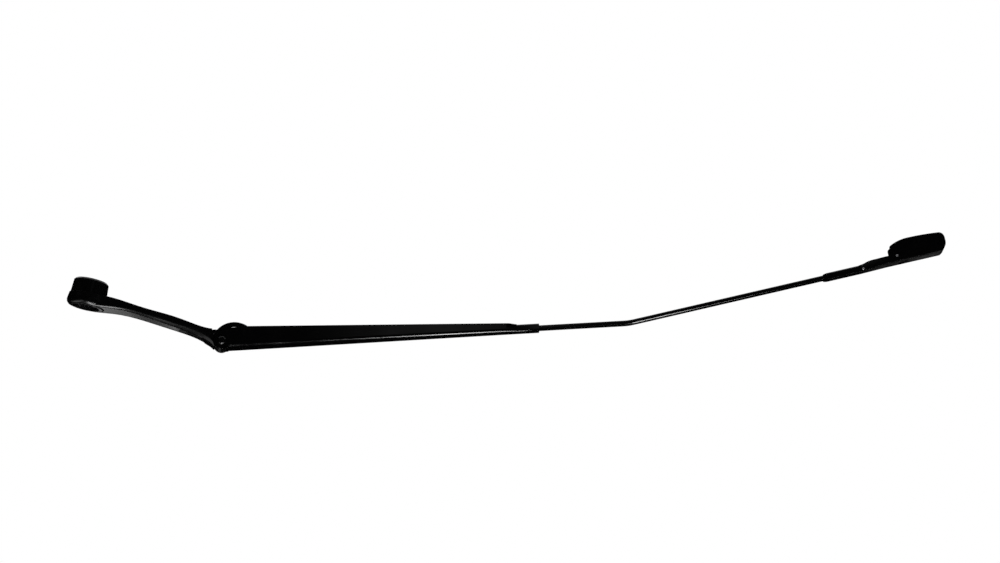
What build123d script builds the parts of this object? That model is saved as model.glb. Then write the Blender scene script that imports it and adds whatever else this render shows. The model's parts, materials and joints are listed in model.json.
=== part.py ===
from build123d import *
import math
import os

# Windscreen wiper arm: a cast head on the wiper spindle, a sprung hinge, a folded sheet-steel channel,
# a flat bar with one bend and a stamped bracket for the blade. Sizes are in millimetres.
# Origin: centre of the stud hole in the head. +Z runs outward along the spindle, away from the glass,
# +X along the arm to its tip, and +Y to the arm's near side. The arm lies as it does on the glass.

# Spindle seat in the head's boss
STUD_HOLE_D = 8.4
STUD_HOLE_LENGTH = 4.0
TAPER_LENGTH = 11.2
TAPER_END_D = 10.4
TAPER_MOUTH_D = 12.2
NUT_RECESS_D = 20.0
NUT_RECESS_DEPTH = 4.5

# Boss and beam of the head
BOSS_D = 25.4
BOSS_STEP = 0.7
BOSS_PLATE_DEPTH = 8.5
BOSS_DRAFT = 0.7
BOSS_EDGE = 1.2
RIM_ROUND = 3.4
BEAM_WIDTH = 25.0
BEAM_CORNER = 1.2
BEAM_CORNER_HINGE = 5.0
CORNER_FLATS = 3
HEAD_REACH = 101.0
HEAD_RISE = 10.3
POCKET_RIM = 4.0
POCKET_DEPTH = 2.6
POCKET_RIB = 2.2

# Hinge
ARM_SLOPE = 16.0
HINGE_WIDTH = 19.0
KNUCKLE_R = 5.6
EAR_R = 5.7
EAR_HEEL = 4.5
EAR_TOE = 0.5
EAR_LENGTH = 16.0
EAR_CORNER = 3.2
EAR_GAP = 0.7
TONGUE_WIDTH = 15.0
TONGUE_ROOT_BACK = 12.2
TONGUE_ROOT_HEIGHT = 6.8
PIN_D = 4.4
PIN_CLEARANCE = 0.05
RIVET_EASE = 0.02
PIN_HEAD_D = 5.8
PIN_HEAD_HEIGHT = 1.1
PIN_HEAD_BEVEL = 0.7
BUSH_D = 6.4
WASHER_D = 10.8
WASHER_GAP = 0.05

# Spring link and its pin, placed from the pivot along the arm and across it
LINK_PIN_BACK = 4.2
LINK_PIN_DROP = 5.1
LINK_PIN_D = 3.6
LINK_PIN_END_GAP = 0.3
LUG_R = 3.4
LINK_LENGTH = 27.0
LINK_ARC_CENTRE = 7.2
LINK_STRAP = 3.2
LINK_THICKNESS = 3.4
LINK_EYE_R = 3.4
LINK_END_R = 2.9
LINK_HOLE_D = 3.8
LINK_SLOT_WIDTH = 4.9
LINK_SLOT_BACK = 4.2
LINK_SLOT_TOP = 0.9

# Tension spring
WIRE_D = 1.7
COIL_R = 3.0
COIL_TURNS = 14
HOOK_LEAD = 3.2
HOOK_TURN = 210.0
LEAD_TURN = 40.0
WIRE_SIDES = 5
FLATS_PER_TURN = 12

# Sheet-steel channel, measured along the arm from the pivot
SHEET = 1.2
WEB_HEIGHT = 5.0
WEB_START = 4.6
CRIMP_START = 213.0
CRIMP_LENGTH = 16.0
SHOULDER_LENGTH = 8.0
CHANNEL_END_WIDTH = 12.4
CHANNEL_FOLD = 1.4
CRIMP_FOLD = 0.3
WALL_DEPTH_HINGE = 14.9
WALL_DEPTH_END = 6.4
WALL_RUN_OUT = 2.5
SCOOP_LENGTH = 18.0
SCOOP_DEPTH = 0.85
SEAM_GAP = 1.6

# Flat bar
BAR_WIDTH = 8.0
BAR_THICKNESS = 3.0
BAR_EDGE = 0.6
BAR_START = 104.0
BAR_DROP = 3.9
BAR_DROP_LENGTH = 44.0
BAR_BEND_AT = 294.0
BAR_BEND = 9.95
BAR_BEND_RADIUS = 40.0
BAR_TIP_LENGTH = 172.0
BAR_HOLE_D = 4.0
BAR_HOLE_INSET = 4.5

# Blade bracket, measured along the bar's outer run from the bracket's start
BRACKET_SHEET = 1.0
BRACKET_CRIMP = 27.0
BRACKET_FLARE_END = 47.0
BRACKET_LENGTH = 93.0
BRACKET_WIDTH = 15.0
BRACKET_WEB = 1.7
LOW_WALL = 4.0
LOW_WALL_LEAD = 10.0
LIP_LENGTH = 3.0
LIP_EDGE = 0.3
DEEP_WALL_START = 51.4
DEEP_WALL = 14.0
CHEEK_CROWN_AT = 14.2
CHEEK_HEEL = 10.4
CHEEK_NOSE = 12.1
NOSE_RADIUS = 9.0
NOSE_CORNER = 5.0
CHEEK_CORNER = 2.0
DIMPLE_AT = 4.1
DIMPLE_DROP = 2.8
DIMPLE_D = 2.0
DIMPLE_DEPTH = 0.5
BRACKET_FOLD = 0.8
BRACKET_PLAN_CORNER = 3.5
NOTCH_WIDTH = 0.8
NOTCH_HEIGHT = 2.4
NOTCH_ROUND = 1.8
WINDOW_START = 56.0
WINDOW_LENGTH = 7.0
WINDOW_WIDTH = 8.0

# Heights and places worked out from the sizes above
nut_seat_z = STUD_HOLE_LENGTH / 2
rim_z = nut_seat_z + NUT_RECESS_DEPTH
boss_face_z = -STUD_HOLE_LENGTH / 2 - TAPER_LENGTH
ear_inner = HINGE_WIDTH / 2 - SHEET
bar_height = WEB_HEIGHT - SHEET - BAR_THICKNESS / 2
bar_end_height = bar_height - BAR_DROP
crimp_width = BAR_WIDTH + 2 * SHEET
hook_at = BAR_START + BAR_HOLE_INSET
bracket_at = BAR_BEND_AT + BAR_TIP_LENGTH - BRACKET_CRIMP

# The arm frame has its origin on the pivot axis and runs along the channel: X along it, Z outward.
arm_frame = Pos(HEAD_REACH, 0, HEAD_RISE) * Rot(0, ARM_SLOPE, 0)
bend_frame = arm_frame * Pos(BAR_BEND_AT, 0, bar_height) * Rot(0, BAR_BEND, 0)
tip_frame = bend_frame * Pos(bracket_at - BAR_BEND_AT, 0, 0)


def side_plate(face, width):
    """A face drawn in the arm's side view, thickened evenly about the arm's middle plane."""
    return extrude(Plane.XZ * face, amount=width / 2, both=True)


def cross_pin(x, z, diameter, length):
    """A round bar across the arm, centred on its middle plane."""
    return Pos(x, 0, z) * Rot(90, 0, 0) * Cylinder(diameter / 2, length)


def section_at(x, face, z=0.0):
    """A face drawn in Y and Z, set across the arm at the distance x."""
    return Plane(origin=(x, 0, z), x_dir=(0, 1, 0), z_dir=(1, 0, 0)) * face


def round_topped(width, height, corner):
    """A rectangle with its two outer corners rounded, its outer edge on the X axis."""
    face = Rectangle(width, height)
    face = fillet(face.vertices().group_by(Axis.Y)[-1], corner)
    return Pos(0, -height / 2) * face


# Mounting head: zinc die casting

# Stations of the beam: share of the reach, share of the rise, thickness
BEAM_STATIONS = (
    (0.04, -0.01, 9.0),
    (0.16, -0.12, 7.8),
    (0.28, -0.20, 6.2),
    (0.42, -0.12, 5.6),
    (0.56, 0.04, 6.4),
    (0.70, 0.20, 6.6),
    (0.84, 0.46, 7.2),
    (0.955, 1.00, 13.2),
)
POCKET_STATIONS = BEAM_STATIONS[2:7]


def beam_width(share):
    return BEAM_WIDTH + share * (HINGE_WIDTH - BEAM_WIDTH)


def beam_outer_z(rise_share):
    return rim_z + rise_share * (HEAD_RISE + KNUCKLE_R - rim_z)


def corner_flats(x, z, radius):
    """Points of a corner at x, z that is turned in a few flats, from its side round to its top."""
    turns = [math.radians(90 * step / CORNER_FLATS) for step in range(CORNER_FLATS + 1)]
    return [(x - radius + radius * math.cos(a), z - radius + radius * math.sin(a)) for a in turns]


def head_boss():
    """Drafted spindle boss with the wider plate that the beam grows out of, its outer rim well rounded."""
    plate_z = rim_z - BOSS_PLATE_DEPTH
    boss_r = BOSS_D / 2
    plate_r = boss_r + BOSS_DRAFT + BOSS_STEP
    outline = Polyline(
        (0, boss_face_z),
        (boss_r - BOSS_EDGE, boss_face_z),
        (boss_r, boss_face_z + BOSS_EDGE),
        (boss_r + BOSS_DRAFT, plate_z),
        (plate_r, plate_z),
        *corner_flats(plate_r + BOSS_DRAFT, rim_z, RIM_ROUND),
        (0, rim_z),
        close=True,
    )
    return revolve(Plane.XZ * make_face(outline), axis=Axis.Z)


def beam_section(width, thickness, corner):
    """The beam's section, its outer edge on the X axis and its outer corners turned in a few flats."""
    half = width / 2
    right = corner_flats(half, 0, corner)
    left = [(-y, z) for y, z in reversed(right)]
    return make_face(Polyline(*right, *left, (-half, -thickness), (half, -thickness), close=True))


def head_beam():
    """Curved beam: flat and broad at the boss, narrow and round-backed at the hinge."""
    faces = []
    for share, rise, thickness in BEAM_STATIONS:
        corner = BEAM_CORNER + share * (BEAM_CORNER_HINGE - BEAM_CORNER)
        face = beam_section(beam_width(share), thickness, corner)
        faces.append(section_at(share * HEAD_REACH, face, beam_outer_z(rise)))
    return loft(faces)


def beam_pockets():
    """Lightening pockets in the beam's glass side, parted by two ribs."""
    faces = []
    for share, rise, thickness in POCKET_STATIONS:
        face = Rectangle(beam_width(share) - 2 * POCKET_RIM, 2 * POCKET_DEPTH)
        faces.append(section_at(share * HEAD_REACH, face, beam_outer_z(rise) - thickness))
    first = POCKET_STATIONS[0][0]
    last = POCKET_STATIONS[-1][0]
    pockets = loft(faces)
    for third in (1, 2):
        rib_x = HEAD_REACH * (first + (last - first) * third / 3)
        pockets -= Pos(rib_x, 0, HEAD_RISE / 2) * Box(POCKET_RIB, BEAM_WIDTH, 4 * HEAD_RISE)
    return pockets


def hinge_tongue():
    """Narrow end of the head between the channel's ears, round about the pivot and the link's pin."""
    root_low = -LINK_PIN_DROP - TONGUE_ROOT_HEIGHT / 2
    root = Line((-TONGUE_ROOT_BACK, root_low), (-TONGUE_ROOT_BACK, root_low + TONGUE_ROOT_HEIGHT))
    knuckle = Circle(KNUCKLE_R)
    lug = Pos(-LINK_PIN_BACK, -LINK_PIN_DROP) * Circle(LUG_R)
    outline = make_hull(knuckle.edges() + lug.edges() + root.edges())
    return side_plate(outline, TONGUE_WIDTH)


def shoulder_clearance():
    """Room that the channel's ears turn in, cut from the full-width beam."""
    reach = EAR_R + EAR_GAP
    depth = 2 * WALL_DEPTH_HINGE
    below = Pos(EAR_LENGTH / 2 - reach, -depth / 2) * Rectangle(EAR_LENGTH, depth)
    return side_plate(Circle(reach) + below, 2 * BEAM_WIDTH)


def link_slot():
    """Slot in the tongue's glass side that the spring link swings in."""
    back = -LINK_PIN_BACK - LINK_SLOT_BACK
    length = EAR_LENGTH - back
    depth = 2 * WALL_DEPTH_HINGE
    slot = Pos(back + length / 2, LINK_SLOT_TOP - depth / 2) * Rectangle(length, depth)
    return side_plate(slot, LINK_SLOT_WIDTH)


def make_head():
    head = head_beam() - arm_frame * shoulder_clearance()
    head += head_boss()
    head += arm_frame * hinge_tongue()
    head -= beam_pockets()
    head -= arm_frame * link_slot()
    head -= arm_frame * cross_pin(0, 0, BUSH_D, 2 * HINGE_WIDTH)
    head -= arm_frame * cross_pin(-LINK_PIN_BACK, -LINK_PIN_DROP, LINK_PIN_D, 2 * HINGE_WIDTH)
    head -= Pos(0, 0, nut_seat_z + NUT_RECESS_DEPTH) * Cylinder(NUT_RECESS_D / 2, 2 * NUT_RECESS_DEPTH)
    head -= Cylinder(STUD_HOLE_D / 2, 2 * STUD_HOLE_LENGTH)
    taper_mid = boss_face_z + TAPER_LENGTH / 2
    head -= Pos(0, 0, taper_mid) * Cone(TAPER_MOUTH_D / 2, TAPER_END_D / 2, TAPER_LENGTH)
    return head


# Hinge pieces: rivet, bushes, washers and the link's pin

def make_pivot_pin():
    """Rivet through ears and tongue, with a low bevelled head at each end."""
    head = Cylinder(PIN_HEAD_D / 2, PIN_HEAD_HEIGHT)
    head = chamfer(head.edges().group_by(Axis.Z)[-1], PIN_HEAD_BEVEL)
    pin = Cylinder(PIN_D / 2, HINGE_WIDTH)
    pin += Pos(0, 0, (HINGE_WIDTH + PIN_HEAD_HEIGHT) / 2) * head
    pin += Rot(180, 0, 0) * Pos(0, 0, (HINGE_WIDTH + PIN_HEAD_HEIGHT) / 2) * head
    return Rot(90, 0, 0) * pin


def make_bush(side):
    """Bush in one cheek of the tongue, side +1 near or -1 far."""
    length = (TONGUE_WIDTH - LINK_SLOT_WIDTH) / 2
    ring = Circle(BUSH_D / 2) - Circle(PIN_D / 2 + PIN_CLEARANCE)
    bush = extrude(ring, amount=length / 2, both=True)
    return Pos(0, side * (LINK_SLOT_WIDTH + length) / 2, 0) * Rot(90, 0, 0) * bush


def make_washer(side):
    """Thin washer that lies on the inside of one ear."""
    thickness = ear_inner - TONGUE_WIDTH / 2 - WASHER_GAP
    ring = Circle(WASHER_D / 2) - Circle(PIN_D / 2 + RIVET_EASE)
    washer = extrude(ring, amount=thickness / 2, both=True)
    return Pos(0, side * (ear_inner - thickness / 2), 0) * Rot(90, 0, 0) * washer


def make_link_pin():
    """Plain cross pin, pressed into both cheeks just short of their faces."""
    return cross_pin(-LINK_PIN_BACK, -LINK_PIN_DROP, LINK_PIN_D, TONGUE_WIDTH - 2 * LINK_PIN_END_GAP)


# Spring link: arched steel strap that clears the pivot when the arm is lifted

pull_angle = math.degrees(
    math.atan2(bar_end_height + LINK_PIN_DROP, hook_at + LINK_PIN_BACK)
)
link_frame = arm_frame * Pos(-LINK_PIN_BACK, 0, -LINK_PIN_DROP) * Rot(0, -pull_angle, 0)


def make_link():
    centre = (LINK_LENGTH / 2, LINK_ARC_CENTRE)
    radius = math.hypot(*centre)
    start = math.degrees(math.atan2(-centre[1], -centre[0]))
    span = 2 * (-90 - start)
    strap = trace(CenterArc(centre, radius, start, span), LINK_STRAP)
    plate = strap + Circle(LINK_EYE_R) + Pos(LINK_LENGTH, 0) * Circle(LINK_END_R)
    plate -= Circle(LINK_PIN_D / 2 + PIN_CLEARANCE)
    plate -= Pos(LINK_LENGTH, 0) * Circle(LINK_HOLE_D / 2)
    return side_plate(plate, LINK_THICKNESS)


# Tension spring: open coil under load, with a hook at each end in planes at right angles

def make_spring():
    """Swept in short flats along one line: hook in the link's hole, lead, coil, lead, hook in the bar's."""
    span = math.hypot(hook_at + LINK_PIN_BACK, bar_end_height + LINK_PIN_DROP) - LINK_LENGTH
    coil_start = COIL_R + HOOK_LEAD
    coil_length = span - 2 * coil_start
    turns = COIL_TURNS + (90 - 2 * LEAD_TURN) / 360
    coil = Helix(coil_length / turns, coil_length, COIL_R, direction=(1, 0, 0))
    coil = Pos(coil_start, 0, 0) * Rot(LEAD_TURN - 90, 0, 0) * coil
    link_hook = CenterArc((COIL_R, 0), COIL_R, 90 + HOOK_TURN, -HOOK_TURN)
    bar_hook = Rot(90, 0, 0) * CenterArc((span - COIL_R, 0), COIL_R, 90, -HOOK_TURN)
    link_lead = Spline(link_hook @ 1, coil @ 0, tangents=(link_hook % 1, coil % 0))
    bar_lead = Spline(coil @ 1, bar_hook @ 0, tangents=(coil % 1, bar_hook % 0))
    line = Wire([link_hook.edge(), link_lead.edge(), coil.edge(), bar_lead.edge(), bar_hook.edge()])
    flats = round(FLATS_PER_TURN * line.length / (2 * math.pi * COIL_R))
    route = Polyline(*[line @ (step / flats) for step in range(flats + 1)])
    wire_face = Plane(origin=route @ 0, z_dir=route % 0) * RegularPolygon(WIRE_D / 2, WIRE_SIDES)
    return Pos(LINK_LENGTH, 0, 0) * sweep(wire_face, path=route, transition=Transition.RIGHT)


# Sheet-steel channel: tapered U with ears at the hinge and its end closed round the bar

def free_edge(x):
    """Height of the walls' free edge at a distance along the channel."""
    share = (x - WEB_START) / (CRIMP_START - SHOULDER_LENGTH - WEB_START)
    return WEB_HEIGHT - WALL_DEPTH_HINGE - share * (WALL_DEPTH_END - WALL_DEPTH_HINGE)


def channel_prism(inset):
    """Tapered bar with the channel's outer form, or with its inner form when inset by the sheet."""
    deep = 2 * WALL_DEPTH_HINGE
    stations = (
        (WEB_START - inset, HINGE_WIDTH, CHANNEL_FOLD),
        (EAR_LENGTH, HINGE_WIDTH, CHANNEL_FOLD),
        (CRIMP_START - SHOULDER_LENGTH, CHANNEL_END_WIDTH, CHANNEL_FOLD),
        (CRIMP_START, crimp_width, CRIMP_FOLD),
    )
    faces = []
    for x, width, fold in stations:
        face = round_topped(width - 2 * inset, deep, fold + SHEET - inset)
        faces.append(section_at(x, face, WEB_HEIGHT - inset))
    return loft(faces, ruled=True)


def channel_side_view():
    """Side view of the folded walls from the web's start to the crimp."""
    end = CRIMP_START - SHOULDER_LENGTH
    crimp_floor = bar_height - BAR_THICKNESS / 2 - SHEET
    outline = Polyline(
        (WEB_START, WEB_HEIGHT + SHEET),
        (CRIMP_START, WEB_HEIGHT + SHEET),
        (CRIMP_START, crimp_floor),
        (end + WALL_RUN_OUT, free_edge(end)),
        (WEB_START, free_edge(WEB_START)),
        close=True,
    )
    return make_face(outline)


def make_ear():
    """Side view of an ear: a lobe round the pivot that runs down to the walls' free edge."""
    outline = Polyline(
        (0, 0),
        (0, WEB_HEIGHT),
        (WEB_START, WEB_HEIGHT),
        (WEB_START, -EAR_HEEL),
        (EAR_LENGTH, -EAR_HEEL),
        (EAR_LENGTH, free_edge(EAR_LENGTH)),
        (EAR_TOE, free_edge(EAR_TOE)),
        (-EAR_R, -EAR_HEEL),
        (-EAR_R, 0),
        close=True,
    )
    face = make_face(outline)
    toes = [v for v in face.vertices() if v.X < WEB_START / 2 and v.Y < -EAR_HEEL / 2]
    return fillet(toes, EAR_CORNER) + Circle(EAR_R)


def link_scoop():
    """Shallow scoop in both walls' free edges, beside the top of the link's arch."""
    middle = LINK_LENGTH / 2 - LINK_PIN_BACK
    radius = SCOOP_LENGTH ** 2 / (8 * SCOOP_DEPTH) + SCOOP_DEPTH / 2
    scoop = Pos(middle, free_edge(middle) + SCOOP_DEPTH - radius) * Circle(radius)
    return side_plate(scoop, 2 * HINGE_WIDTH)


def make_channel():
    channel = channel_prism(0) - channel_prism(SHEET)
    channel &= side_plate(channel_side_view(), 2 * HINGE_WIDTH)
    ears = side_plate(make_ear(), HINGE_WIDTH) - side_plate(make_ear(), 2 * ear_inner)
    sleeve = crimp_sleeve(SHEET)
    channel += ears
    channel -= link_scoop()
    channel += extrude(section_at(CRIMP_START, sleeve, bar_height), amount=CRIMP_LENGTH)
    channel -= cross_pin(0, 0, PIN_D + 2 * RIVET_EASE, 2 * HINGE_WIDTH)
    return channel


# Flat bar

def make_bar():
    """Flat bar: cranked inner end with the spring's hole, straight run, one bend, outer run."""
    tip = (bend_frame * Pos(BAR_TIP_LENGTH, 0, 0)).position
    tip = arm_frame.inverse() * Pos(tip)
    line = FilletPolyline(
        (BAR_START, bar_end_height),
        (BAR_START + BAR_DROP_LENGTH / 3, bar_end_height),
        (BAR_START + BAR_DROP_LENGTH, bar_height),
        (BAR_BEND_AT, bar_height),
        (tip.position.X, tip.position.Z),
        radius=BAR_BEND_RADIUS,
    )
    bar = side_plate(trace(line, BAR_THICKNESS), BAR_WIDTH)
    sides = bar.faces().sort_by(Axis.Y)
    bar = chamfer(sides[0].edges() + sides[-1].edges(), BAR_EDGE)
    hole = Pos(hook_at, 0, bar_end_height) * Cylinder(BAR_HOLE_D / 2, 3 * BAR_THICKNESS)
    return bar - hole


# Blade bracket: one stamping, closed round the bar at one end and a deep U at the other

def bracket_prism(inset):
    """The bracket's closed outer form past the crimp, or the hollow inside it when inset by the sheet."""
    neck_width = BAR_WIDTH + 2 * BRACKET_SHEET
    neck_top = BAR_THICKNESS / 2 + BRACKET_SHEET
    deep = 2 * DEEP_WALL
    length = BRACKET_LENGTH - inset
    stations = (
        (BRACKET_CRIMP - inset, neck_width, neck_top, CRIMP_FOLD),
        (BRACKET_CRIMP + BRACKET_SHEET, neck_width, neck_top, CRIMP_FOLD),
        (BRACKET_FLARE_END, BRACKET_WIDTH, BRACKET_WEB, BRACKET_FOLD),
        (BRACKET_LENGTH, BRACKET_WIDTH, BRACKET_WEB, BRACKET_FOLD),
    )
    faces = []
    for x, width, top, fold in stations:
        face = round_topped(width - 2 * inset, deep, fold + BRACKET_SHEET - inset)
        faces.append(section_at(x, face, top - inset))
    side = Pos(length / 2, neck_top - inset - deep / 2) * Rectangle(length, deep)
    nose = side.vertices().group_by(Axis.X)[-1].sort_by(Axis.Y)[-1]
    side = fillet(nose, NOSE_RADIUS + neck_top - BRACKET_WEB - inset)
    plan = Pos(length / 2, 0) * Rectangle(length, BRACKET_WIDTH - 2 * inset)
    plan = fillet(plan.vertices().group_by(Axis.X)[-1], BRACKET_PLAN_CORNER - inset)
    prism = loft(faces, ruled=True) & side_plate(side, 2 * BRACKET_WIDTH)
    return prism & extrude(plan, amount=2 * deep, both=True)


def bracket_side_view():
    """Side view of the bracket's walls: an S-shaped lead from the crimp, a low wall and a deep cheek."""
    crimp_end = Vector(BRACKET_CRIMP, -BAR_THICKNESS / 2 - BRACKET_SHEET)
    lead_end = Vector(BRACKET_CRIMP + LOW_WALL_LEAD, -LOW_WALL)
    lead_middle = (crimp_end + lead_end) / 2
    notch_end = DEEP_WALL_START + NOTCH_WIDTH
    notch_top = -LOW_WALL - NOTCH_HEIGHT
    notch_root = (notch_end, -LOW_WALL)
    heel = (DEEP_WALL_START, -CHEEK_HEEL)
    crown = (DEEP_WALL_START + CHEEK_CROWN_AT, -DEEP_WALL)
    nose = (BRACKET_LENGTH, -CHEEK_NOSE)
    edges = TangentArc(crimp_end, lead_middle, tangent=(1, 0))
    edges += TangentArc(lead_end, lead_middle, tangent=(-1, 0))
    edges += Polyline(lead_end, notch_root, (notch_end, notch_top), (DEEP_WALL_START, notch_top), heel)
    edges += TangentArc(crown, heel, tangent=(-1, 0))
    edges += TangentArc(crown, nose, tangent=(1, 0))
    edges += Polyline(nose, (BRACKET_LENGTH, DEEP_WALL), (BRACKET_CRIMP, DEEP_WALL), crimp_end)
    face = make_face(edges)
    for corner, radius in ((notch_root, NOTCH_ROUND), (heel, CHEEK_CORNER), (nose, NOSE_CORNER)):
        face = fillet(face.vertices().sort_by_distance(corner)[0], radius)
    return face


def crimp_sleeve(sheet):
    """Section of a sheet closed round the bar, with its seam on the glass side."""
    sleeve = RectangleRounded(BAR_WIDTH + 2 * sheet, BAR_THICKNESS + 2 * sheet, CRIMP_FOLD + sheet)
    sleeve -= Rectangle(BAR_WIDTH, BAR_THICKNESS)
    return sleeve - Pos(0, -BAR_THICKNESS) * Rectangle(SEAM_GAP, 2 * BAR_THICKNESS)


def sleeve_lip():
    """Wedge that thins the sleeve's first stretch down to a narrow edge on the bar."""
    faces = []
    for x, wall in ((0, LIP_EDGE), (LIP_LENGTH, BRACKET_SHEET)):
        faces.append(section_at(x, Rectangle(BAR_WIDTH + 2 * wall, BAR_THICKNESS + 2 * wall)))
    return loft(faces, ruled=True)


def cheek_dimple(side):
    """Small punched dimple that locates the blade's adapter, side +1 near or -1 far."""
    cone = Rot(-90 * side, 0, 0) * Cone(0, DIMPLE_D / 2, DIMPLE_DEPTH)
    return Pos(DEEP_WALL_START + DIMPLE_AT, side * (BRACKET_WIDTH - DIMPLE_DEPTH) / 2, -DIMPLE_DROP) * cone


def make_bracket():
    cap = bracket_prism(0) - bracket_prism(BRACKET_SHEET)
    cap &= side_plate(bracket_side_view(), 2 * BRACKET_WIDTH)
    sleeve = crimp_sleeve(BRACKET_SHEET)
    cap += extrude(section_at(LIP_LENGTH, sleeve), amount=BRACKET_CRIMP - LIP_LENGTH)
    cap += extrude(section_at(0, sleeve), amount=LIP_LENGTH) & sleeve_lip()
    window_mid = WINDOW_START + WINDOW_LENGTH / 2
    cap -= Pos(window_mid, 0, BRACKET_WEB) * Box(WINDOW_LENGTH, WINDOW_WIDTH, 4 * BRACKET_SHEET)
    return cap - cheek_dimple(1) - cheek_dimple(-1)


PIECES = {
    "mounting_head": make_head(),
    "pivot_pin": arm_frame * make_pivot_pin(),
    "pivot_bush_near": arm_frame * make_bush(1),
    "pivot_bush_far": arm_frame * make_bush(-1),
    "hinge_washer_near": arm_frame * make_washer(1),
    "hinge_washer_far": arm_frame * make_washer(-1),
    "link_pin": arm_frame * make_link_pin(),
    "spring_link": link_frame * make_link(),
    "tension_spring": link_frame * make_spring(),
    "retainer_channel": arm_frame * make_channel(),
    "arm_rod": arm_frame * make_bar(),
    "blade_bracket": tip_frame * make_bracket(),
}

os.makedirs("parts", exist_ok=True)
for name, piece in PIECES.items():
    export_step(piece, "parts/" + name + ".step")
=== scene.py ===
import json
import math

import bmesh
import bpy
from mathutils import Matrix, Vector


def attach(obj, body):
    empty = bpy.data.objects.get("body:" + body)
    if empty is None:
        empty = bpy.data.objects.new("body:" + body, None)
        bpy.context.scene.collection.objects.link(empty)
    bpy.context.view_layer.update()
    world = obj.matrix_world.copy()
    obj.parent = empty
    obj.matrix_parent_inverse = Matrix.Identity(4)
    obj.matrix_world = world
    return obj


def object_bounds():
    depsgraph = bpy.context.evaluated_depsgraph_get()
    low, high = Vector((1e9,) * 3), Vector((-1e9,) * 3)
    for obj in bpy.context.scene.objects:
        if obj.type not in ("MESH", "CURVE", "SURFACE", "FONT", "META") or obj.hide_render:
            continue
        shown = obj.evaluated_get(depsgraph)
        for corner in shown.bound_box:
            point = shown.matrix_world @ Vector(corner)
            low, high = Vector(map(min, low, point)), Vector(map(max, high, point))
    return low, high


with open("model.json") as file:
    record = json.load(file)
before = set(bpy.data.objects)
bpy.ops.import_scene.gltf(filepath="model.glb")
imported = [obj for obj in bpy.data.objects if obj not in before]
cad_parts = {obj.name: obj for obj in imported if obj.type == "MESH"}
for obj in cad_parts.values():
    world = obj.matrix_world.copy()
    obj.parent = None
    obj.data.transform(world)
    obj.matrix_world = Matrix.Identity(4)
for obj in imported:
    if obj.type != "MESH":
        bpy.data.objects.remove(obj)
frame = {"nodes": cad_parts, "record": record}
cad_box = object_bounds()
nodes = frame["nodes"]

# Mounting head
# A zinc die casting: the drafted spindle boss, the curved beam with pockets on its glass side and the hinge
# tongue come out of one die. It is dipped, baked satin black and clamped on the wiper spindle by a nut.

mm = 0.001
HEAD_EDGE = 0.5 * mm
FACET_LIMIT = math.radians(32)
ROUND_STEPS = 2
WELD_GAP = 0.002 * mm
FACE_WEIGHT = 60


def soften_edges(node, width, facet_limit=FACET_LIMIT):
    """Break a solid's hard edges by a small round, and shade its curved faces smooth."""
    for polygon in node.data.polygons:
        polygon.use_smooth = True
    weld = node.modifiers.new("joined_faces", "WELD")
    weld.merge_threshold = WELD_GAP
    round_off = node.modifiers.new("broken_edges", "BEVEL")
    round_off.width = width
    round_off.segments = ROUND_STEPS
    round_off.limit_method = "ANGLE"
    round_off.angle_limit = facet_limit
    shading = node.modifiers.new("face_shading", "WEIGHTED_NORMAL")
    shading.keep_sharp = True
    shading.weight = FACE_WEIGHT


def feed(tree, value, socket):
    """Give an input its value: another socket, a number or an RGB triple."""
    if isinstance(value, tuple):
        socket.default_value = (*value, 1)
    elif isinstance(value, (int, float)):
        socket.default_value = value
    else:
        tree.links.new(value, socket)


def own_place(tree):
    """The place on a piece in its own space, so that what is laid there rides with the piece."""
    return tree.nodes.new("ShaderNodeTexCoord").outputs["Object"]


def own_axes(tree):
    """X, Y and Z of the place on a piece, as three sockets."""
    parts = tree.nodes.new("ShaderNodeSeparateXYZ")
    feed(tree, own_place(tree), parts.inputs["Vector"])
    return parts.outputs


def noise(tree, scale, detail):
    """A noise texture laid in the piece's own space."""
    node = tree.nodes.new("ShaderNodeTexNoise")
    feed(tree, own_place(tree), node.inputs["Vector"])
    feed(tree, scale, node.inputs["Scale"])
    feed(tree, detail, node.inputs["Detail"])
    return node.outputs["Fac"]


def spread(tree, value, low, high, out_low, out_high):
    """Map a value's range on another range, clamped at both ends."""
    node = tree.nodes.new("ShaderNodeMapRange")
    feed(tree, value, node.inputs["Value"])
    feed(tree, low, node.inputs["From Min"])
    feed(tree, high, node.inputs["From Max"])
    feed(tree, out_low, node.inputs["To Min"])
    feed(tree, out_high, node.inputs["To Max"])
    return node.outputs["Result"]


def math_node(tree, operation, *values):
    """One sum on up to three values, each a socket or a number."""
    node = tree.nodes.new("ShaderNodeMath")
    node.operation = operation
    for socket, value in zip(node.inputs, values):
        feed(tree, value, socket)
    return node.outputs["Value"]


def length_of(tree, first, second):
    """Length of the straight line whose two square sides are given."""
    first_squared = math_node(tree, "MULTIPLY", first, first)
    second_squared = math_node(tree, "MULTIPLY", second, second)
    return math_node(tree, "SQRT", math_node(tree, "ADD", first_squared, second_squared))


def mix_colour(tree, share, first, second):
    """Blend two colours, each a socket or an RGB triple, by a share."""
    node = tree.nodes.new("ShaderNodeMix")
    node.data_type = "RGBA"
    feed(tree, share, node.inputs["Factor"])
    # The node's colour sockets share their names with others, so they are picked by number.
    feed(tree, first, node.inputs[6])
    feed(tree, second, node.inputs[7])
    return node.outputs[2]


PAINT_BLACK = (0.0012, 0.0012, 0.0013)
PAINT_REFLECTION = 0.4
PEEL_STRENGTH = 0.2
CLOUD_SCALE = 60.0
SPECK_SCALE = 2600.0
DRIFT_SCALE = 90.0
DUST_GREY = (0.030, 0.029, 0.027)
DUST_DULLING = 0.3


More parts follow.
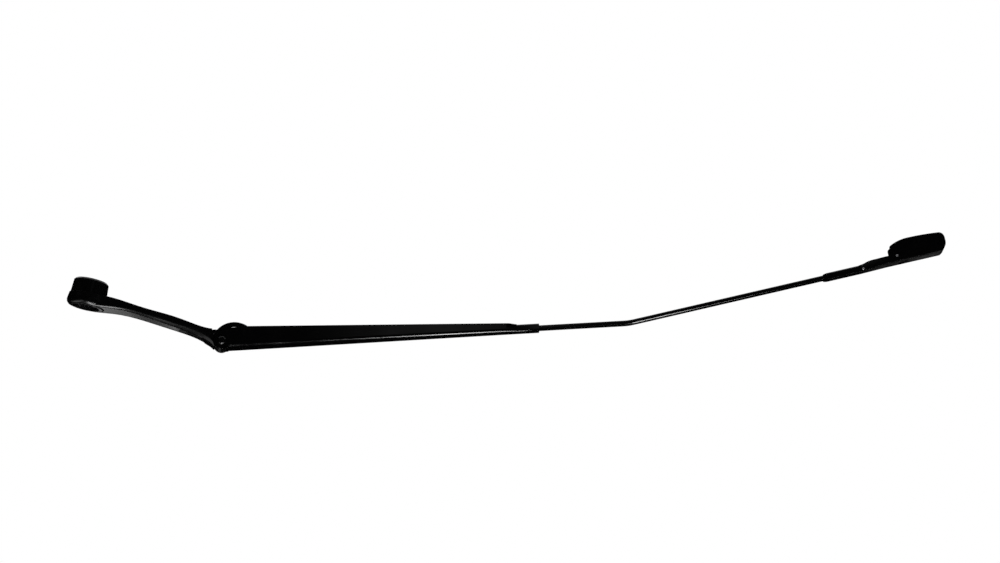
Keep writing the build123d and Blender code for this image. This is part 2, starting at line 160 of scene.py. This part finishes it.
def paint_film_group():
    """Baked black paint: orange peel in the height, cloudy gloss and fine dust that dulls it in patches."""
    group = bpy.data.node_groups.new("paint_film", "ShaderNodeTree")
    for label in ("Gloss", "Peel Scale", "Dust"):
        group.interface.new_socket(label, in_out="INPUT", socket_type="NodeSocketFloat")
    group.interface.new_socket("Colour", in_out="OUTPUT", socket_type="NodeSocketColor")
    for label in ("Roughness", "Height"):
        group.interface.new_socket(label, in_out="OUTPUT", socket_type="NodeSocketFloat")
    given = group.nodes.new("NodeGroupInput").outputs
    result = group.nodes.new("NodeGroupOutput").inputs
    peel = noise(group, given["Peel Scale"], 2.0)
    cloud = spread(group, noise(group, CLOUD_SCALE, 3.0), 0.35, 0.65, -0.03, 0.04)
    specks = spread(group, noise(group, SPECK_SCALE, 1.0), 0.66, 0.74, 0.0, 1.0)
    drift = spread(group, noise(group, DRIFT_SCALE, 2.0), 0.45, 0.7, 0.0, 1.0)
    drifted = math_node(group, "MULTIPLY", specks, drift)
    dust = math_node(group, "MULTIPLY", drifted, given["Dust"])
    clouded = math_node(group, "ADD", given["Gloss"], cloud)
    dulled = math_node(group, "MULTIPLY", dust, DUST_DULLING)
    feed(group, mix_colour(group, dust, PAINT_BLACK, DUST_GREY), result["Colour"])
    feed(group, math_node(group, "ADD", clouded, dulled), result["Roughness"])
    feed(group, peel, result["Height"])
    return group


paint_film = paint_film_group()


def new_finish(name):
    """A new material, with its node tree and its main shader."""
    material = bpy.data.materials.new(name)
    material.use_nodes = True
    tree = material.node_tree
    return material, tree, tree.nodes["Principled BSDF"]


def add_relief(tree, shader, height, strength, depth):
    """Give a shader a fine relief."""
    bump = tree.nodes.new("ShaderNodeBump")
    feed(tree, strength, bump.inputs["Strength"])
    feed(tree, depth, bump.inputs["Distance"])
    feed(tree, height, bump.inputs["Height"])
    feed(tree, bump.outputs["Normal"], shader.inputs["Normal"])


def painted(name, gloss, peel_scale, peel_depth, dust):
    """Satin black paint; the film's gloss, peel and dust are given for each piece."""
    material, tree, shader = new_finish(name)
    film = tree.nodes.new("ShaderNodeGroup")
    film.node_tree = paint_film
    feed(tree, gloss, film.inputs["Gloss"])
    feed(tree, peel_scale, film.inputs["Peel Scale"])
    feed(tree, dust, film.inputs["Dust"])
    feed(tree, film.outputs["Colour"], shader.inputs["Base Color"])
    feed(tree, film.outputs["Roughness"], shader.inputs["Roughness"])
    add_relief(tree, shader, film.outputs["Height"], PEEL_STRENGTH, peel_depth)
    feed(tree, PAINT_REFLECTION, shader.inputs["Specular IOR Level"])
    return material


def dress(node, material):
    """Give a solid one finish all over."""
    node.data.materials.clear()
    node.data.materials.append(material)


def bare_where(material, mask, colour, roughness):
    """Let bare metal show through a paint where the mask is 1, as wear, and on the bracket as painted
    glints.
    """
    tree = material.node_tree
    shader = tree.nodes["Principled BSDF"]
    paint_colour = shader.inputs["Base Color"].links[0].from_socket
    paint_rough = shader.inputs["Roughness"].links[0].from_socket
    feed(tree, mix_colour(tree, mask, paint_colour, colour), shader.inputs["Base Color"])
    less_paint = math_node(tree, "MULTIPLY", paint_rough, math_node(tree, "SUBTRACT", 1.0, mask))
    bare_rough = math_node(tree, "MULTIPLY", mask, roughness)
    feed(tree, math_node(tree, "ADD", less_paint, bare_rough), shader.inputs["Roughness"])
    feed(tree, mask, shader.inputs["Metallic"])


SEAT_RADIUS = 6.05 * mm
SEAT_HEIGHT = 2.0 * mm
SEAT_MARGIN = 0.1 * mm
NUT_RADIUS = 7.6 * mm
WEAR_SCALE = 500.0
BARE_ZINC = (0.46, 0.46, 0.48)


def spindle_seat_mask(tree):
    """1 in the taper and the stud hole, and in worn patches on the ring that the nut sits on."""
    x, y, z = own_axes(tree)
    radius = length_of(tree, x, y)
    inside = math_node(tree, "LESS_THAN", radius, SEAT_RADIUS)
    under = math_node(tree, "LESS_THAN", z, SEAT_HEIGHT + SEAT_MARGIN)
    bore = math_node(tree, "MULTIPLY", inside, under)
    on_seat = math_node(tree, "COMPARE", z, SEAT_HEIGHT, SEAT_MARGIN)
    under_nut = math_node(tree, "LESS_THAN", radius, NUT_RADIUS)
    worn = spread(tree, noise(tree, WEAR_SCALE, 3.0), 0.42, 0.5, 0.0, 1.0)
    ring = math_node(tree, "MULTIPLY", math_node(tree, "MULTIPLY", on_seat, under_nut), worn)
    return math_node(tree, "MAXIMUM", bore, ring)


head = nodes["mounting_head"]
soften_edges(head, HEAD_EDGE)
head_finish = painted("casting_paint", gloss=0.22, peel_scale=700.0, peel_depth=0.05 * mm, dust=0.25)
bare_where(head_finish, spindle_seat_mask(head_finish.node_tree), BARE_ZINC, roughness=0.42)
dress(head, head_finish)

# Retainer channel
# Sheet steel folded to a tapered U. Its ears hang on the hinge rivet, and its far end is closed round the
# flat bar. Painted satin black with the bar and the bracket in place.

SHEET_EDGE = 0.25 * mm
channel = nodes["retainer_channel"]
soften_edges(channel, SHEET_EDGE)
dress(channel, painted("channel_paint", gloss=0.11, peel_scale=900.0, peel_depth=0.02 * mm, dust=0.25))

# Flat bar
# Drawn steel bar with broken edges. It is cranked and drilled inside the channel, where the spring hooks in,
# bent once outside it, and painted with the channel.

bar = nodes["arm_rod"]
soften_edges(bar, SHEET_EDGE)
dress(bar, painted("bar_paint", gloss=0.11, peel_scale=900.0, peel_depth=0.02 * mm, dust=0.2))

# Blade bracket
# One stamping, closed round the bar's end and opened to a deep U with a rounded nose. A window in its web
# takes the locking button of the blade's adapter.

DIMPLE_BACK = 14.5 * mm
DIMPLE_RISE = 2.2 * mm
# Bare steel spot in each dimple: chipped paint that also stands in as a painted glint.
DIMPLE_BARE_GLINT_RADIUS = 0.95 * mm
BARE_STEEL_GLINT = (0.42, 0.42, 0.43)
BARE_GLINT_ROUGHNESS = 0.6


def dimple_chip_and_glint_mask(tree, spot):
    """1 in the punched dimple of each cheek: chipped bare steel that also stands in as a painted glint."""
    x, _, z = own_axes(tree)
    off_x = math_node(tree, "SUBTRACT", x, spot.x)
    off_z = math_node(tree, "SUBTRACT", z, spot.z)
    return math_node(tree, "LESS_THAN", length_of(tree, off_x, off_z), DIMPLE_BARE_GLINT_RADIUS)


bracket = nodes["blade_bracket"]
soften_edges(bracket, SHEET_EDGE)
bracket_paint = painted("bracket_paint", gloss=0.13, peel_scale=900.0, peel_depth=0.02 * mm, dust=0.25)
seat = next(mount for mount in frame["record"]["mounts"] if mount["name"] == "blade_seat")
outward = -Vector(seat["axis"])
tipward = Vector((0, 1, 0)).cross(outward)
dimple_spot = Vector(seat["pos_m"]) - DIMPLE_BACK * tipward + DIMPLE_RISE * outward
# The dimple's bare steel is chipped paint and also the dimple's painted glint.
bare_where(bracket_paint, dimple_chip_and_glint_mask(bracket_paint.node_tree, dimple_spot), BARE_STEEL_GLINT, BARE_GLINT_ROUGHNESS)
dress(bracket, bracket_paint)

# Stakes
# Small round pips, punched in the closed sheet over the bar's end, one on each side. They lock the bracket
# on the bar. Much of their paint is chipped to bare steel, which also stands in as their painted glints.

STAKE_BACK = 40.3 * mm
STAKE_RISE = 5.6 * mm
STAKE_RADIUS = 0.9 * mm
STAKE_HEIGHT = 0.32 * mm
STAKE_ROOT = 0.10 * mm
STAKE_SIDES = 20
STAKE_RINGS = 5
CHIP_AND_GLINT_SCALE = 900.0
WELL_OUTSIDE = 60 * mm


def add_object(name, data):
    """A new object in the scene."""
    thing = bpy.data.objects.new(name, data)
    bpy.context.scene.collection.objects.link(thing)
    return thing


def stake(name, carrier, spot, side, finish):
    """A low dome on the outside of a sheet wall, found by a straight line from that side."""
    start = spot + Vector((0, side * WELL_OUTSIDE, 0))
    _, place, normal, _ = carrier.ray_cast(start, Vector((0, -side, 0)))
    ball_radius = (STAKE_RADIUS ** 2 + STAKE_HEIGHT ** 2) / (2 * STAKE_HEIGHT)
    edge_angle = math.asin(STAKE_RADIUS / ball_radius)
    turns = [2 * math.pi * step / STAKE_SIDES for step in range(STAKE_SIDES)]
    dome = bmesh.new()
    rings = []
    for ring in range(1, STAKE_RINGS + 1):
        angle = edge_angle * ring / STAKE_RINGS
        height = ball_radius * (math.cos(angle) - 1) + STAKE_HEIGHT
        reach = ball_radius * math.sin(angle)
        rings.append([dome.verts.new((reach * math.cos(t), reach * math.sin(t), height)) for t in turns])
    rings.append([dome.verts.new((v.co.x, v.co.y, -STAKE_ROOT)) for v in rings[-1]])
    top = dome.verts.new((0, 0, STAKE_HEIGHT))
    for step in range(STAKE_SIDES):
        after = (step + 1) % STAKE_SIDES
        dome.faces.new((top, rings[0][step], rings[0][after]))
        for inner, outer in zip(rings, rings[1:]):
            dome.faces.new((inner[step], outer[step], outer[after], inner[after]))
    dome.faces.new(list(reversed(rings[-1])))
    for polygon in dome.faces:
        polygon.smooth = True
    mesh = bpy.data.meshes.new(name)
    dome.to_mesh(mesh)
    dome.free()
    piece = add_object(name, mesh)
    piece.matrix_world = Matrix.Translation(place) @ normal.to_track_quat("Z", "Y").to_matrix().to_4x4()
    piece.data.materials.append(finish)
    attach(piece, "arm")


# The stakes' chipped bare steel also stands in as their painted glints.
stake_finish_with_glints = painted("stake_paint_and_glints", gloss=0.4, peel_scale=1200.0, peel_depth=0.02 * mm, dust=0.1)
stake_tree = stake_finish_with_glints.node_tree
chips_and_glints = spread(stake_tree, noise(stake_tree, CHIP_AND_GLINT_SCALE, 2.0), 0.30, 0.45, 0.0, 1.0)
bare_where(stake_finish_with_glints, chips_and_glints, BARE_STEEL_GLINT, BARE_GLINT_ROUGHNESS)
sleeve_spot = Vector(seat["pos_m"]) - STAKE_BACK * tipward + STAKE_RISE * outward
bpy.context.view_layer.update()
stake("sleeve_stake_near", bracket, sleeve_spot, 1, stake_finish_with_glints)
stake("sleeve_stake_far", bracket, sleeve_spot, -1, stake_finish_with_glints)

# Hinge rivet and link pin
# Turned steel pins. The rivet is set before the arm is painted, so its heads are black like the ears; the
# link pin inside stays bare.

PIN_EDGE = 0.25 * mm
PIN_GREY = (0.36, 0.36, 0.38)
GRAIN_SHADE = 0.55
GRAIN_STRENGTH = 0.15
GRAIN_DEPTH = 0.02 * mm


def bare_metal(name, colour, roughness, grain_scale):
    """Turned or drawn metal with a fine uneven sheen."""
    material, tree, shader = new_finish(name)
    grain = noise(tree, grain_scale, 3.0)
    shade = tuple(GRAIN_SHADE * part for part in colour)
    feed(tree, mix_colour(tree, grain, shade, colour), shader.inputs["Base Color"])
    uneven = spread(tree, grain, 0.3, 0.7, roughness - 0.08, roughness + 0.1)
    feed(tree, uneven, shader.inputs["Roughness"])
    add_relief(tree, shader, grain, GRAIN_STRENGTH, GRAIN_DEPTH)
    feed(tree, 1.0, shader.inputs["Metallic"])
    return material


rivet = nodes["pivot_pin"]
soften_edges(rivet, PIN_EDGE)
dress(rivet, painted("rivet_paint", gloss=0.22, peel_scale=1200.0, peel_depth=0.02 * mm, dust=0.2))
link_pin = nodes["link_pin"]
soften_edges(link_pin, PIN_EDGE)
dress(link_pin, bare_metal("pin_steel", PIN_GREY, roughness=0.38, grain_scale=2200.0))

# Spring link
# Arched strap blanked from steel plate, tumbled so that its edges are well rounded, and blackened. It hooks
# on the link pin and carries the spring.

LINK_EDGE = 0.9 * mm
link = nodes["spring_link"]
soften_edges(link, LINK_EDGE)
dress(link, painted("link_coat", gloss=0.24, peel_scale=1200.0, peel_depth=0.02 * mm, dust=0.2))

# Tension spring
# Coil of oiled spring wire, hooked in the link at one end and in the bar's hole at the other. The edges
# along the wire are under the facet limit here, so they get no round and the wire is shaded smooth.

WIRE_FACET_LIMIT = math.radians(80)
WIRE_GREY = (0.20, 0.19, 0.18)
OIL_WEIGHT = 0.6
OIL_ROUGHNESS = 0.12
spring = nodes["tension_spring"]
soften_edges(spring, PIN_EDGE, WIRE_FACET_LIMIT)
spring_finish = bare_metal("spring_wire", WIRE_GREY, roughness=0.34, grain_scale=1800.0)
oil = spring_finish.node_tree.nodes["Principled BSDF"]
oil.inputs["Coat Weight"].default_value = OIL_WEIGHT
oil.inputs["Coat Roughness"].default_value = OIL_ROUGHNESS
dress(spring, spring_finish)

# Bushes and washers
# Plain bronze bushes, pressed into the tongue's cheeks for the rivet to turn in, and thin plastic washers
# that lie loose between the cheeks and the ears.

BUSH_EDGE = 0.1 * mm
BRONZE = (0.52, 0.34, 0.15)
bush_bronze = bare_metal("bush_bronze", BRONZE, roughness=0.36, grain_scale=1500.0)
washer_plastic = painted("washer_plastic", gloss=0.5, peel_scale=1600.0, peel_depth=0.01 * mm, dust=0.1)
for side in ("near", "far"):
    for piece, finish in (("pivot_bush_", bush_bronze), ("hinge_washer_", washer_plastic)):
        soften_edges(nodes[piece + side], BUSH_EDGE)
        dress(nodes[piece + side], finish)

# Camera
# A long lens, a little above the arm's side on its outer face, turned so that the glass side is up. The stud
# hole falls on HOLE_PIXEL, and a picture pixel is PIXEL wide at the arm.

PIXEL = 0.72 * mm
PHOTO_WIDTH = 1000
PHOTO_HEIGHT = 563
HOLE_PIXEL = (87.8, 298.7)
ARM_TURN = math.radians(12.5)
VIEW_TILT = math.radians(12.0)
CAMERA_DISTANCE = 6.0
SENSOR_WIDTH = 36.0
SEES_TO = 60.0
across = Vector((0, -math.sin(VIEW_TILT), math.cos(VIEW_TILT)))
along = Vector((1, 0, 0))
picture_right = math.cos(ARM_TURN) * along - math.sin(ARM_TURN) * across
picture_down = math.sin(ARM_TURN) * along + math.cos(ARM_TURN) * across
to_camera = picture_down.cross(picture_right)
right_of_hole = PIXEL * (PHOTO_WIDTH / 2 - HOLE_PIXEL[0])
below_hole = PIXEL * (PHOTO_HEIGHT / 2 - HOLE_PIXEL[1])
aim = right_of_hole * picture_right + below_hole * picture_down
turn = Matrix((picture_right, -picture_down, to_camera)).transposed().to_4x4()

camera_data = bpy.data.cameras.new("camera")
camera_data.sensor_width = SENSOR_WIDTH
camera_data.lens = SENSOR_WIDTH * CAMERA_DISTANCE / (PIXEL * PHOTO_WIDTH)
camera_data.clip_end = SEES_TO
camera = add_object("camera", camera_data)
camera.matrix_world = Matrix.Translation(aim + CAMERA_DISTANCE * to_camera) @ turn
bpy.context.scene.camera = camera

# Stage and light
# A pale floor well under the arm that turns white in the distance, a white surround, a large soft box
# overhead, and black flags round the arm. Bright patches on them draw the sheens on the arm, and small
# flags end the sheens at the hinge, on the bar and on the bracket.

FLOOR_GAP = 0.45
FLOOR_HALF = 4.5
FLOOR_NEAR = 0.6
FLOOR_FAR = 1.1
FLOOR_GREY = (0.8, 0.8, 0.8)
FLOOR_ROUGHNESS = 0.9
SKY_LIGHT = 0.5
WHITE = 1.0
floor_z = cad_box[0][2] - FLOOR_GAP
middle = (Vector(cad_box[0]) + Vector(cad_box[1])) / 2
bpy.context.scene.view_settings.view_transform = "Standard"


def sheets(name, corners):
    """A stage piece of flat sheets, with four corners for each, and its node tree."""
    mesh = bpy.data.meshes.new(name)
    mesh.from_pydata(corners, [], [tuple(range(first, first + 4)) for first in range(0, len(corners), 4)])
    piece = add_object(name, mesh)
    finish, tree, _ = new_finish(name)
    piece.data.materials.append(finish)
    return piece, tree


def upright_across(y, low, high):
    """Corners of an upright sheet that runs along X."""
    return [(low[0], y, low[1]), (high[0], y, low[1]), (high[0], y, high[1]), (low[0], y, high[1])]


def upright_along(x, low, high):
    """Corners of an upright sheet that runs along Y."""
    return [(x, low[0], low[1]), (x, high[0], low[1]), (x, high[0], high[1]), (x, low[0], high[1])]


def level_at(z, low, high):
    """Corners of a level sheet, from its low and high X and Y."""
    return [(low[0], low[1], z), (high[0], low[1], z), (high[0], high[1], z), (low[0], high[1], z)]


def background_share(tree):
    """1 for rays that see the white background: from the camera, in a reflection or through glass."""
    path = tree.nodes.new("ShaderNodeLightPath")
    share = math_node(tree, "MAXIMUM", path.outputs["Is Camera Ray"], path.outputs["Is Transmission Ray"])
    return math_node(tree, "MAXIMUM", share, path.outputs["Is Glossy Ray"])


def mix_shader(tree, share, first, second):
    """Blend two shaders by a share."""
    blend = tree.nodes.new("ShaderNodeMixShader")
    feed(tree, share, blend.inputs["Fac"])
    feed(tree, first, blend.inputs[1])
    feed(tree, second, blend.inputs[2])
    return blend.outputs["Shader"]


_, floor_tree = sheets("floor", level_at(floor_z, (-FLOOR_HALF, -FLOOR_HALF), (FLOOR_HALF, FLOOR_HALF)))
pale = floor_tree.nodes["Principled BSDF"]
feed(floor_tree, FLOOR_GREY, pale.inputs["Base Color"])
feed(floor_tree, FLOOR_ROUGHNESS, pale.inputs["Roughness"])
white = floor_tree.nodes.new("ShaderNodeEmission")
feed(floor_tree, WHITE, white.inputs["Strength"])
from_middle = floor_tree.nodes.new("ShaderNodeVectorMath")
from_middle.operation = "DISTANCE"
feed(floor_tree, own_place(floor_tree), from_middle.inputs[0])
from_middle.inputs[1].default_value = (middle.x, middle.y, floor_z)
far_off = spread(floor_tree, from_middle.outputs["Value"], FLOOR_NEAR, FLOOR_FAR, 0.0, 1.0)
far_share = math_node(floor_tree, "MULTIPLY", background_share(floor_tree), far_off)
upper_side = mix_shader(floor_tree, far_share, pale.outputs["BSDF"], white.outputs["Emission"])
from_below = floor_tree.nodes.new("ShaderNodeNewGeometry").outputs["Backfacing"]
clear = floor_tree.nodes.new("ShaderNodeBsdfTransparent").outputs["BSDF"]
one_sided = mix_shader(floor_tree, from_below, upper_side, clear)
feed(floor_tree, one_sided, floor_tree.nodes["Material Output"].inputs["Surface"])

world = bpy.data.worlds.new("surround")
bpy.context.scene.world = world
world.use_nodes = True
sky_tree = world.node_tree
sky = sky_tree.nodes["Background"]
feed(sky_tree, (1, 1, 1), sky.inputs["Color"])
sky_strength = spread(sky_tree, background_share(sky_tree), 0.0, 1.0, SKY_LIGHT, WHITE)
feed(sky_tree, sky_strength, sky.inputs["Strength"])


def for_gloss_alone(board, tree, brightness):
    """Let a board be seen in the arm's gloss alone, at a brightness that is a socket or a number."""
    glow = tree.nodes.new("ShaderNodeEmission")
    feed(tree, brightness, glow.inputs["Strength"])
    feed(tree, glow.outputs["Emission"], tree.nodes["Material Output"].inputs["Surface"])
    board.visible_camera = False
    board.visible_diffuse = False
    board.visible_transmission = False
    board.visible_volume_scatter = False
    board.visible_shadow = False


BACK_Y = -1.5
FRONT_Y = 1.2
LEFT_X = -0.9
RIGHT_X = 1.8
FLAG_TOP = 1.3
FLOOR_FLAG_Z = floor_z + 0.01
BARE_FLOOR_X = 1.0
BARE_FLOOR_Y = 0.5
OVERHEAD_STRIPS = ((-0.40, 0.10), (0.47, 0.94), (1.10, 1.62))
HINGE_FLAG_Y = -0.06
BAR_FLAG_Z = 0.10
SLEEVE_FLAG_Z = 0.0
flag_corners = upright_across(FRONT_Y, (LEFT_X, floor_z), (RIGHT_X, FLAG_TOP))
flag_corners += upright_across(BACK_Y, (LEFT_X, floor_z), (RIGHT_X, FLAG_TOP))
flag_corners += upright_along(LEFT_X, (BACK_Y, floor_z), (FRONT_Y, FLAG_TOP))
flag_corners += upright_along(RIGHT_X, (BACK_Y, floor_z), (FRONT_Y, FLAG_TOP))
flag_corners += level_at(FLOOR_FLAG_Z, (LEFT_X, BARE_FLOOR_Y), (RIGHT_X, FRONT_Y))
flag_corners += level_at(FLOOR_FLAG_Z, (BARE_FLOOR_X, BACK_Y), (RIGHT_X, BARE_FLOOR_Y))
for low_x, high_x in OVERHEAD_STRIPS:
    flag_corners += level_at(FLAG_TOP, (low_x, BACK_Y), (high_x, FRONT_Y))
flag_corners += upright_across(HINGE_FLAG_Y, (0.064, 0.016), (0.112, 0.042))
flag_corners += level_at(BAR_FLAG_Z, (0.366, 0.0), (0.46, 0.09))
flag_corners += level_at(SLEEVE_FLAG_Z, (0.54, 0.0), (0.70, 0.09))
flags, flag_tree = sheets("black_flags", flag_corners)
for_gloss_alone(flags, flag_tree, 0.0)


def sheen(name, corners_at, place, axes, centre, half_size, soft, brightness):
    """A bright patch with soft edges in front of one of the flags, on a board that lies along two axes."""
    low = [at - reach - soft for at, reach in zip(centre, half_size)]
    high = [at + reach + soft for at, reach in zip(centre, half_size)]
    board, tree = sheets(name, corners_at(place, low, high))
    own = own_axes(tree)
    for axis, at, reach in zip(axes, centre, half_size):
        off = math_node(tree, "ABSOLUTE", math_node(tree, "SUBTRACT", own[axis], at))
        fade = spread(tree, off, reach, reach + soft, 1.0, 0.0)
        brightness = math_node(tree, "MULTIPLY", fade, brightness)
    for_gloss_alone(board, tree, brightness)


SHEEN_GAP = 0.02
BEHIND = (upright_across, BACK_Y + SHEEN_GAP, "XZ")
IN_FRONT = (upright_across, FRONT_Y - SHEEN_GAP, "XZ")
OVERHEAD = (level_at, FLAG_TOP - SHEEN_GAP, "XY")
sheen("sheen_on_head", *BEHIND, (0.020, 0.325), (0.070, 0.045), soft=0.035, brightness=1.1)
sheen("sheen_on_bracket", *BEHIND, (0.905, 0.02), (0.015, 0.05), soft=0.02, brightness=0.10)
sheen("sheen_on_fold", *OVERHEAD, (0.750, 0.36), (0.02, 0.24), soft=0.05, brightness=30.0)
sheen("sheen_on_wall", *IN_FRONT, (0.29, -0.31), (0.03, 0.06), soft=0.07, brightness=0.22)
sheen("sheen_on_bar", *OVERHEAD, (1.235, 0.25), (0.03, 0.50), soft=0.04, brightness=28.0)

LAMP_PLACE = Vector((0.28, 0.1, 1.28))
LAMP_TARGET = Vector((0.28, 0, -0.05))
LAMP_WIDTH = 0.32
LAMP_LENGTH = 1.3
LAMP_POWER = 13.0
lamp_data = bpy.data.lights.new("overhead", "AREA")
lamp_data.shape = "RECTANGLE"
lamp_data.size = LAMP_WIDTH
lamp_data.size_y = LAMP_LENGTH
lamp_data.energy = LAMP_POWER
lamp = add_object("overhead", lamp_data)
lamp.location = LAMP_PLACE
lamp.rotation_euler = (LAMP_TARGET - LAMP_PLACE).to_track_quat("-Z", "Y").to_euler()
